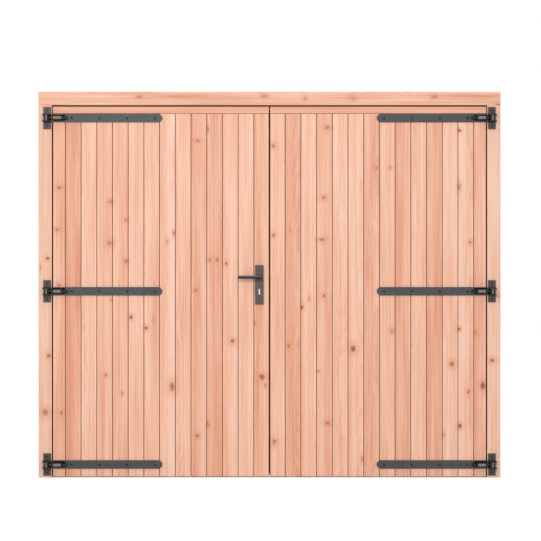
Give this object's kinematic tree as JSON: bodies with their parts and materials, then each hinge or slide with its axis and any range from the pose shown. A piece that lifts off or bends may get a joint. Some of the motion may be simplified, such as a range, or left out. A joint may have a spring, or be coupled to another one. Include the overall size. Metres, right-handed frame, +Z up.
{
  "type": "barn door",
  "caption": "Side-hung pair of boarded softwood barn doors in a rebated frame, with strap hinges, lever handles, a mortise lock and shoot bolts.",
  "frame": {"origin": "on the floor, midway between the posts and at half the leaves' thickness", "axes": "+X to the right seen from outside, +Y into the building, +Z up"},
  "size_m": [2.55, 0.163, 2.13],
  "materials": {
    "softwood": "planed, unfinished fir",
    "black_steel": "satin powder coat",
    "satin_steel": "satin",
    "zinc_steel": "zinc plated"
  },
  "bodies": {
    "frame": {"left_post": "softwood", "right_post": "softwood", "head_beam": "softwood", "hinge_pins": "black_steel", "left_upper_bracket": "black_steel", "left_middle_bracket": "black_steel", "left_lower_bracket": "black_steel", "right_upper_bracket": "black_steel", "right_middle_bracket": "black_steel", "right_lower_bracket": "black_steel"},
    "left_leaf": {"left_boards": "softwood", "left_top_strip": "softwood", "left_hinge_stile": "softwood", "left_meeting_stile": "softwood", "left_top_rail": "softwood", "left_middle_rail": "softwood", "left_bottom_rail": "softwood", "left_upper_brace": "softwood", "left_lower_brace": "softwood", "left_upper_strap": "black_steel", "left_middle_strap": "black_steel", "left_lower_strap": "black_steel", "left_eye_bolts": "black_steel", "left_lock_nuts": "black_steel", "lock_case": "satin_steel", "outer_plate": "black_steel", "inner_plate": "black_steel", "cylinder_body": "satin_steel"},
    "right_leaf": {"right_boards": "softwood", "right_top_strip": "softwood", "right_hinge_stile": "softwood", "right_meeting_stile": "softwood", "right_top_rail": "softwood", "right_middle_rail": "softwood", "right_bottom_rail": "softwood", "right_upper_brace": "softwood", "right_lower_brace": "softwood", "right_upper_strap": "black_steel", "right_middle_strap": "black_steel", "right_lower_strap": "black_steel", "right_eye_bolts": "black_steel", "right_lock_nuts": "black_steel", "strike_plate": "satin_steel", "meeting_strip": "softwood", "upper_bolt_guide": "zinc_steel", "lower_bolt_guide": "zinc_steel"},
    "lever": {"outer_lever": "black_steel", "inner_lever": "black_steel", "spindle": "satin_steel"},
    "latch": {"latch_bolt": "satin_steel"},
    "dead_bolt": {"dead_bolt": "satin_steel"},
    "cylinder_plug": {"cylinder_plug": "satin_steel"},
    "upper_bolt": {"upper_shoot_bolt": "zinc_steel"},
    "lower_bolt": {"lower_shoot_bolt": "zinc_steel"}
  },
  "joints": [
    {"name": "left_leaf_swing", "type": "hinge", "parent": "frame", "child": "left_leaf", "pos_m": [-1.228, -0.0535, 1.0285], "axis": [0, 0, -1], "range_deg": [0, 170]},
    {"name": "right_leaf_swing", "type": "hinge", "parent": "frame", "child": "right_leaf", "pos_m": [1.228, -0.0535, 1.0285], "axis": [0, 0, 1], "range_deg": [0, 170]},
    {"name": "lever_turn", "type": "hinge", "parent": "left_leaf", "child": "lever", "pos_m": [-0.056, 0, 1.106], "axis": [0, -1, 0], "range_deg": [0, 40], "stiffness_Nm_per_rad": 1.5, "springref_deg": -28.65},
    {"name": "latch_slide", "type": "slide", "parent": "left_leaf", "child": "latch", "axis": [-1, 0, 0], "range_m": [0, 0.013]},
    {"name": "plug_turn", "type": "hinge", "parent": "left_leaf", "child": "cylinder_plug", "pos_m": [-0.056, 0, 1.034], "axis": [0, -1, 0], "range_deg": [0, 360]},
    {"name": "dead_bolt_slide", "type": "slide", "parent": "left_leaf", "child": "dead_bolt", "axis": [1, 0, 0], "range_m": [0, 0.02]},
    {"name": "upper_bolt_slide", "type": "slide", "parent": "right_leaf", "child": "upper_bolt", "axis": [0, 0, 1], "range_m": [0, 0.025]},
    {"name": "lower_bolt_slide", "type": "slide", "parent": "right_leaf", "child": "lower_bolt", "axis": [0, 0, -1], "range_m": [0, 0.025]}
  ],
  "couplings": [
    {"joint": "latch_slide", "follows": "lever_turn", "m_per_rad": 0.0186},
    {"joint": "plug_turn", "follows": "dead_bolt_slide", "rad_per_m": 314.15}
  ]
}
